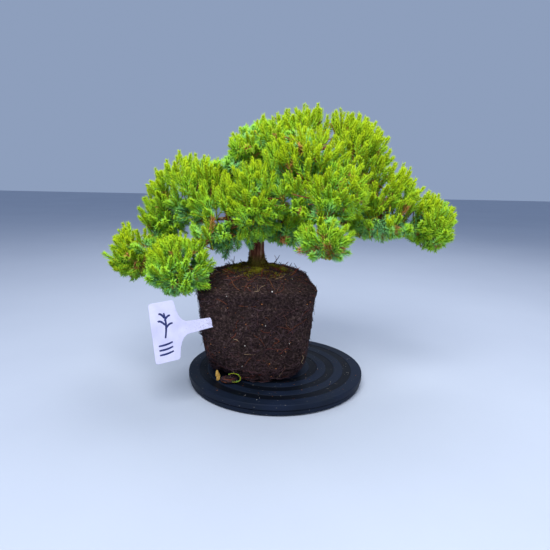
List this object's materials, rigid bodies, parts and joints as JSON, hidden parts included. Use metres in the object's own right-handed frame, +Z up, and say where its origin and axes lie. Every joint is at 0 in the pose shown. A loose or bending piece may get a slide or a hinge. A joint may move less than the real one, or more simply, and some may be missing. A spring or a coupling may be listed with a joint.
{
  "type": "juniper bonsai tree on a turntable",
  "caption": "Young spreading juniper bonsai with a bare square root ball and a plant label, standing on a round ball-bearing turntable that swivels.",
  "frame": {"origin": "on the turntable's spin axis, at the flat underside of its rubber pad", "axes": "+Z up along the spin axis, +X along the tree's widest spread, -Y towards the side with the plant label"},
  "size_m": [0.3766, 0.2, 0.3045],
  "materials": {
    "rubber_pad": "matt black foam rubber",
    "turntable_plastic": "satin blue-black moulded plastic",
    "bearing_steel": "polished bearing steel",
    "cage_nylon": "natural nylon",
    "peat_and_roots": "moist dark brown peat bound by fine roots",
    "moss": "gold-green moss with brown litter",
    "bark": "flaking red-brown juniper bark",
    "foliage": "fresh yellow-green juniper needles",
    "label_plastic": "thin lilac-white plastic sheet",
    "dead_leaf": "dry yellow-brown leaf scale"
  },
  "bodies": {
    "base": {"non_slip_pad": "rubber_pad", "base_plate": "turntable_plastic"},
    "cage": {"ball_cage": "cage_nylon", "bearing_ball_01": "bearing_steel", "bearing_ball_02": "bearing_steel", "bearing_ball_03": "bearing_steel", "bearing_ball_04": "bearing_steel", "bearing_ball_05": "bearing_steel", "bearing_ball_06": "bearing_steel", "bearing_ball_07": "bearing_steel", "bearing_ball_08": "bearing_steel"},
    "plate": {"turntable_plate": "turntable_plastic", "centre_bolt": "bearing_steel", "bolt_washer": "bearing_steel", "fallen_leaf": "dead_leaf", "foliage_apex": "foliage", "foliage_back_centre": "foliage", "foliage_back_left": "foliage", "foliage_back_right": "foliage", "foliage_centre_front": "foliage", "foliage_centre_low": "foliage", "foliage_crown_front": "foliage", "foliage_left_front_low": "foliage", "foliage_left_inner": "foliage", "foliage_left_mid": "foliage", "foliage_left_tip": "foliage", "foliage_left_upper": "foliage", "foliage_right_front": "foliage", "foliage_right_hanging": "foliage", "foliage_right_low": "foliage", "foliage_right_outer": "foliage", "foliage_right_tip": "foliage", "foliage_upper_left": "foliage", "foliage_upper_right": "foliage", "limb_back_centre": "bark", "limb_back_left": "bark", "limb_back_right": "bark", "limb_centre_front": "bark", "limb_crown_front": "bark", "limb_left_high": "bark", "limb_left_low": "bark", "limb_left_mid": "bark", "limb_right_front": "bark", "limb_right_high": "bark", "limb_right_low": "bark", "limb_upper_left": "bark", "moss_back": "moss", "moss_front": "moss", "moss_left": "moss", "moss_right": "moss", "plant_label": "label_plastic", "root_ball": "peat_and_roots", "soil_clump": "peat_and_roots", "trunk": "bark"}
  },
  "joints": [
    {"name": "plate_spin", "type": "hinge", "parent": "base", "child": "plate", "pos_m": [0, 0, 0.0068], "axis": [0, 0, 1], "continuous": true},
    {"name": "cage_spin", "type": "hinge", "parent": "base", "child": "cage", "pos_m": [0, 0, 0.0068], "axis": [0, 0, 1], "continuous": true}
  ],
  "couplings": [
    {"joint": "cage_spin", "follows": "plate_spin", "ratio": 0.5}
  ]
}
